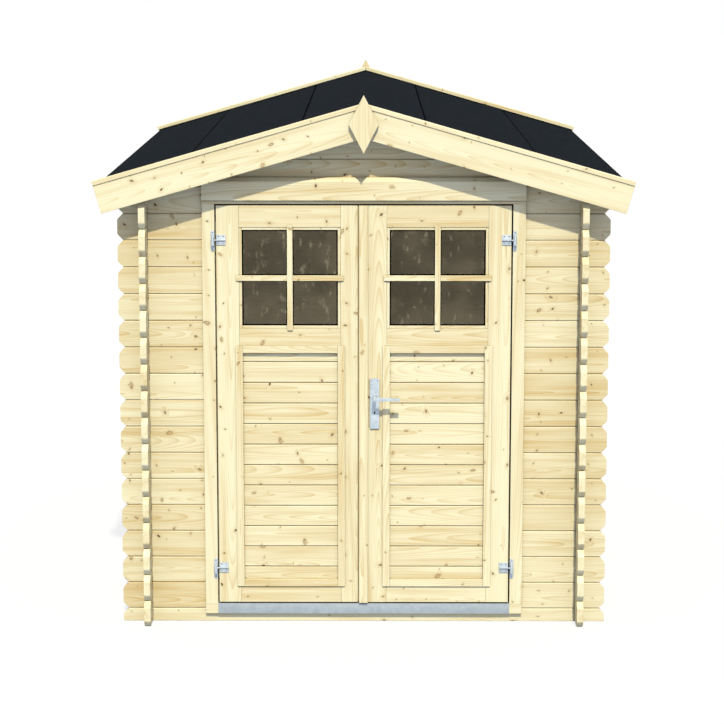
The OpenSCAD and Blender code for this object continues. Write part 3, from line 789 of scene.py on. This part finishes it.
def chamfer_long_edges(board, width):
    longest = max(edge.calc_length() for edge in board.edges)
    along = [edge for edge in board.edges if edge.calc_length() > LONG_SHARE * longest]
    bevel(board, along, width, 1)


print("edges over", LONG_SHARE, "of a board's length are chamfered")

# %% Boards cut from slabs
TIGHT = 0.4 * MM
TONGUE = 6 * MM
CLEAR = 0.1 * MM
LEAST_BOARD = 0.1
BOARD_EDGE = 0.5 * MM


def board_cuts(low, high, pitch, last):
    """Where a slab is cut, from its high end down; last is the width of the board there."""
    cuts = [high]
    place = high - last
    while place > low + LEAST_BOARD * pitch:
        cuts.append(place)
        place -= pitch
    return [*cuts, low]


def add_tongues(boards, slab, places, joint):
    """Closes the joints of upright boards halfway through the wood."""
    middle = sum(span(slab.verts, Y_AXIS)) / 2
    through = (middle - TONGUE / 2, middle + TONGUE / 2)
    half = joint / 2 - CLEAR
    for place in places:
        block(boards, span(slab.verts, X_AXIS), through, (place - half, place + half))


def boarded(node, axis, pitch, last, chamfer, joint=TIGHT):
    """Stands boards of one pitch in for a slab."""
    slab = copy_of(node)
    cuts = board_cuts(*span(slab.verts, axis), pitch, last)
    joined = bmesh.new()
    carrier = bpy.data.meshes.new("board")
    for top, bottom in zip(cuts, cuts[1:]):
        board = one_board(slab, axis, bottom + joint / 2, top - joint / 2)
        chamfer_long_edges(board, chamfer)
        board.to_mesh(carrier)
        board.free()
        joined.from_mesh(carrier)
    bpy.data.meshes.remove(carrier)
    if joint > TIGHT:
        add_tongues(joined, slab, cuts[1:-1], joint)
    slab.free()
    wooden(node, joined, BOARD_EDGE)
    print(node, "has", len(cuts) - 1, "boards")


# %% Doors, roof and floor
PANEL_BOARD = 90.7 * MM
PANEL_TOP_BOARD = 55 * MM
PANEL_GAP = 2 * MM
ROOF_BOARD = 96 * MM
FLOOR_BOARD = 94 * MM
JOINT_V = 3 * MM
FLOOR_V = 1 * MM
for side in ("left", "right"):
    boarded(f"{side}_door_panel", Z_AXIS, PANEL_BOARD, PANEL_TOP_BOARD, JOINT_V, PANEL_GAP)
    boarded(f"roof_deck_{side}", Y_AXIS, ROOF_BOARD, ROOF_BOARD, JOINT_V)
boarded("floor_deck", X_AXIS, FLOOR_BOARD, FLOOR_BOARD, FLOOR_V)

# %% [markdown]
# ## Windows
# The glazing bars don't part the glass: they are a cross of thin bars laid over it, whose ends lap over
# the beads onto the door. The upright bar runs through, and the level bar is in two halves beside it. A
# dark seal shows as a thin line where the glass meets its beads. The inside of the door repeats both.

# %% Glazing bars
BAR_WIDTH = 23.5 * MM
BAR_PROUD = 6 * MM
BAR_LAP = {"level": 13 * MM, "upright": 8 * MM}
BAR_CORE = 14 * MM
BAR_ROOM = 0.3 * MM
BAR_EDGE = 0.8 * MM
BEAD = 12 * MM


def bar_cross(bars, low, high, cover, core):
    """A cross of bars over the glass, with a narrower core behind it that reaches the pane."""
    middle = (low + high) / 2
    half = BAR_WIDTH / 2
    half_core = BAR_CORE / 2
    lap = BAR_LAP["upright"]
    short = BEAD + BAR_ROOM
    block(bars, (middle.x - half, middle.x + half), cover, (low.z - lap, high.z + lap))
    block(bars, (middle.x - half_core, middle.x + half_core), core, (low.z + short, high.z - short))
    for outward, edge in ((-1, low.x), (1, high.x)):
        beside = middle.x + outward * (half + BAR_ROOM)
        end = edge + outward * BAR_LAP["level"]
        block(bars, (beside, end), cover, (middle.z - half, middle.z + half))
        beside = middle.x + outward * (half_core + BAR_ROOM)
        end = edge - outward * short
        block(bars, (beside, end), core, (middle.z - half_core, middle.z + half_core))


def glazing_bars(side):
    low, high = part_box(f"{side}_door_beads")
    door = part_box(f"{side}_door_frame")
    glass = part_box(f"{side}_door_glass")
    bars = bmesh.new()
    for from_glass, face, pane_face in ((-1, door[0].y, glass[0].y), (1, door[1].y, glass[1].y)):
        cover = (face, face + from_glass * BAR_PROUD)
        core = (face, pane_face + from_glass * BAR_ROOM)
        bar_cross(bars, low, high, cover, core)
    soften(bars, BAR_EDGE)
    name = f"{side}_door_glazing_bars"
    lay_grain(bars, name)
    add_piece(name, bars, FINISH["joinery_wood"], f"{side}_door")


print("bars lap over the doors by", BAR_LAP)

# %% Seals of the panes
SEAL_WIDTH = 6 * MM
SEAL_DEPTHS = (0.05 * MM, 2 * MM)
SEAL_SHOW = 4.2 * MM
SEAL_EDGE = 0.5 * MM


def seal_cross(seal, low, high, deep):
    """A seal round the glass and along its bars, between two depths."""
    left, right = low.x + BEAD, high.x - BEAD
    bottom, top = low.z + BEAD, high.z - BEAD
    for x in ((left, left + SEAL_WIDTH), (right - SEAL_WIDTH, right)):
        block(seal, x, deep, (bottom, top))
    for z in ((bottom, bottom + SEAL_WIDTH), (top - SEAL_WIDTH, top)):
        block(seal, (left + SEAL_WIDTH, right - SEAL_WIDTH), deep, z)
    beside = (BAR_CORE / 2 + BAR_ROOM, BAR_WIDTH / 2 + SEAL_SHOW)
    middle = (low + high) / 2
    for across in (-1, 1):
        for up in (-1, 1):
            x_edge = left + SEAL_WIDTH if across < 0 else right - SEAL_WIDTH
            z_edge = bottom + SEAL_WIDTH if up < 0 else top - SEAL_WIDTH
            level = [middle.z + up * out for out in beside]
            block(seal, (middle.x + across * beside[0], x_edge), deep, level)
            upright = [middle.x + across * out for out in beside]
            block(seal, upright, deep, (middle.z + up * beside[1], z_edge))


def glazing_seal(side):
    low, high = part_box(f"{side}_door_beads")
    glass_low, glass_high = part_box(f"{side}_door_glass")
    seal = bmesh.new()
    for from_glass, pane_face in ((-1, glass_low.y), (1, glass_high.y)):
        seal_cross(seal, low, high, [pane_face + from_glass * out for out in SEAL_DEPTHS])
    soften(seal, SEAL_EDGE)
    add_piece(f"{side}_door_glazing_seal", seal, BLACK_RUBBER, f"{side}_door")


for side in ("left", "right"):
    glazing_bars(side)
    glazing_seal(side)
    solids[f"{side}_door_glass"].data.materials.clear()
    solids[f"{side}_door_glass"].data.materials.append(FINISH["pane"])
print("seals", SEAL_WIDTH, "m wide round the panes")

# %% [markdown]
# ## Door seals and felt laps
# Each door has a soft strip in the gap between the doors: one right behind the faces and one deeper, so
# that either door can open first. A thin black lining along the jambs and the head is painted shade: it
# makes the gaps round the doors look as dark as the shade deep inside them.
# Where a sheet of felt laps over the next one, a bead of bitumen is squeezed out along its lower edge. All
# of these are plain strips, so each one is a box with softened edges.

# %% Seals between the doors
# Start and end beside the door's edge, and front and back behind its face
MEETING_SEALS = {
    "left": (0.05 * MM, 1.7 * MM, 10 * MM, 18 * MM),
    "right": (-2.5 * MM, -0.05 * MM, 0.4 * MM, 8 * MM),
}
MEETING_SHORT = 3 * MM
MEETING_EDGE = 0.4 * MM

for side, (start, end, front, back) in MEETING_SEALS.items():
    door_low, door_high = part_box(f"{side}_door_frame")
    edge = door_high.x if side == "left" else door_low.x
    meeting = bmesh.new()
    block(
        meeting,
        (edge + start, edge + end),
        (door_low.y + front, door_low.y + back),
        (door_low.z + MEETING_SHORT, door_high.z - MEETING_SHORT),
    )
    soften(meeting, MEETING_EDGE)
    add_piece(f"{side}_meeting_seal", meeting, TAN_RUBBER, f"{side}_door")
print(len(MEETING_SEALS), "seals between the doors")

# %% Black lining of the door frame, as painted shade
# The black lining is painted shade: a dark sheet in the gaps round the doors, where there is only shade.
STOP_REACH = 12 * MM
SHADE_LINING = 1 * MM
SHADE_LINING_BACK = (1 * MM, 34 * MM)
SHADE_LINING_EDGE = 0.3 * MM
TOUCH = 0.05 * MM

opening = STOP_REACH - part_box("door_jamb_left")[1].x
head_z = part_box("door_head")[0].z + STOP_REACH
door_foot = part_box("right_door_frame")[0]
shade_lining_y = [door_foot.y + back for back in SHADE_LINING_BACK]
shade_lining = bmesh.new()
for outward in (-1, 1):
    sides = (outward * (opening - SHADE_LINING), outward * (opening - TOUCH))
    block(shade_lining, sides, shade_lining_y, (door_foot.z, head_z - TOUCH))
inner = opening - SHADE_LINING - TOUCH
block(shade_lining, (-inner, inner), shade_lining_y, (head_z - SHADE_LINING, head_z - TOUCH))
soften(shade_lining, SHADE_LINING_EDGE)
add_piece("door_frame_shade_lining", shade_lining, BLACK_RUBBER, "shed")
print("doorway", round(2 * opening, 4), "m wide")

# %% Bitumen at the laps
ROOF_PITCH = math.radians(16)
SHEET = 3 * MM
BEAD_OUT = 9 * MM
BEAD_RISE = 1.6 * MM
BEAD_SUNK = 0.2 * MM
BEAD_EDGE = 0.6 * MM

laps = bmesh.new()
lean = Matrix.Rotation(ROOF_PITCH, 4, "Y")
for node in ("felt_ridge", "felt_middle"):
    low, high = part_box(node)
    edge_x = high.x - SHEET * math.sin(ROOF_PITCH)
    for outward in (-1, 1):
        bead = block(laps, (0, BEAD_OUT), (low.y, high.y), (-BEAD_SUNK, BEAD_RISE))
        bmesh.ops.transform(laps, matrix=lean, verts=bead)
        bmesh.ops.translate(laps, vec=(edge_x, 0, low.z), verts=bead)
        bmesh.ops.scale(laps, vec=(outward, 1, 1), verts=bead)
bmesh.ops.recalc_face_normals(laps, faces=laps.faces)
soften(laps, BEAD_EDGE)
add_piece("felt_lap_beads", laps, BLACK_RUBBER, "shed")
print("bitumen at four laps")

# %% [markdown]
# ## Felt and ironwork
# The felt sheets are right as they are and only take their finish. The ironwork is pressed and plated,
# with slightly round edges, so it is copied and softened as the wood is, and smooth shading rounds its
# pins and eyes. Its screws are small domed heads with a round socket.

# %% Felt sheets
FELT_NODES = [node for node, slot in SLOT_OF.items() if slot == "roof_felt"]
for node in FELT_NODES:
    solids[node].data.materials.clear()
    solids[node].data.materials.append(FINISH["roof_felt"])
print("felt:", FELT_NODES)

# %% Ironwork
ROUND = math.radians(35)
METAL_EDGE = 0.5 * MM
METAL_NODES = [node for node, slot in SLOT_OF.items() if slot in ("ironwork", "sill_metal")]
for node in METAL_NODES:
    shape = copy_of(node)
    soften(shape, METAL_EDGE)
    slot = SLOT_OF[node]
    made = add_piece(f"{node}_metal", shape, FINISH[slot], BODY_OF[node], [node])
    made.data.shade_smooth()
    made.data.set_sharp_from_angle(angle=ROUND)
print("metal:", METAL_NODES)

# %% Screw heads
SCREW = 7 * MM
SCREW_RISE = 2 * MM
SCREW_SIDES = 16
SCREW_TOP = 0.32
SOCKET_RIM = 0.1
SOCKET_DEPTH = 0.6


def screw(shape, place, size=SCREW):
    """A domed head on a face that looks to -Y, with a round socket."""
    head = bmesh.new()
    bmesh.ops.create_cone(
        head,
        cap_ends=True,
        segments=SCREW_SIDES,
        radius1=size / 2,
        radius2=size * SCREW_TOP,
        depth=SCREW_RISE,
    )
    top = max(head.faces, key=lambda face: face.calc_center_median().z)
    bmesh.ops.inset_individual(head, faces=[top], thickness=size * SOCKET_RIM)
    socket = bmesh.ops.extrude_discrete_faces(head, faces=[top])["faces"]
    bmesh.ops.translate(head, vec=(0, 0, -SOCKET_DEPTH * SCREW_RISE), verts=socket[0].verts)
    turn = Vector((0, -1, 0)).to_track_quat("Z", "Y").to_matrix()
    bmesh.ops.rotate(head, cent=(0, 0, 0), matrix=turn, verts=head.verts)
    bmesh.ops.translate(head, vec=Vector(place) - Y_AXIS * SCREW_RISE / 2, verts=head.verts)
    carrier = bpy.data.meshes.new("screw")
    head.to_mesh(carrier)
    head.free()
    shape.from_mesh(carrier)
    bpy.data.meshes.remove(carrier)


print("screw heads", SCREW, "m across")

# %% Screws of the hinges
LEAF_HEIGHT = 45 * MM
LEAF_WIDTH = 39 * MM
LEAF_ROOM = 1 * MM
PLATE = 2.5 * MM
STRAP_WIDTH = 16 * MM
STRAP_HEIGHT = 89 * MM
STRAP_DROP = 4 * MM
LEAF_SCREWS = [(x * MM, z * MM) for x in (-10, 10) for z in (-13, 16.5)]
STRAP_SCREWS = [z * (STRAP_HEIGHT - STRAP_WIDTH) / 2 - STRAP_DROP for z in (-1, 1)]

strap_screws = bmesh.new()
strap_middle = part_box("frame_hinges")[1].x - STRAP_WIDTH / 2
for side, outward in (("left", -1), ("right", 1)):
    hinge_low, hinge_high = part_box(f"{side}_door_hinges")
    door_low, door_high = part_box(f"{side}_door_frame")
    edge = door_low.x if outward < 0 else door_high.x
    leaf_x = edge - outward * (LEAF_ROOM + LEAF_WIDTH / 2)
    plate_y = door_low.y - PLATE
    leaf_screws = bmesh.new()
    for z in (hinge_low.z + LEAF_HEIGHT / 2, hinge_high.z - LEAF_HEIGHT / 2):
        for across, up in LEAF_SCREWS:
            screw(leaf_screws, (leaf_x + across, plate_y, z + up))
        for up in STRAP_SCREWS:
            screw(strap_screws, (outward * strap_middle, plate_y, z + up))
    add_piece(f"{side}_hinge_screws", leaf_screws, FINISH["ironwork"], f"{side}_door")
add_piece("strap_screws", strap_screws, FINISH["ironwork"], "shed")
print(len(LEAF_SCREWS), "screws on each leaf and", len(STRAP_SCREWS), "on each strap")

# %% Screws of the lock
LOCK_SCREW = 6 * MM
LOCK_SCREW_IN = 7 * MM
LOCK_SCREW_DOWN = 7 * MM

plate_low, plate_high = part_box("lock_plates")
lock_screws = bmesh.new()
for x in (plate_low.x + LOCK_SCREW_IN, plate_high.x - LOCK_SCREW_IN):
    screw(lock_screws, (x, plate_low.y, plate_high.z - LOCK_SCREW_DOWN), LOCK_SCREW)
add_piece("lock_screws", lock_screws, FINISH["ironwork"], "right_door")
print("2 screws on the lock")

# %% [markdown]
# ## Closing
# The visual model has to keep the size of the solids.

# %% Sizes and finish
low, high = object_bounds()
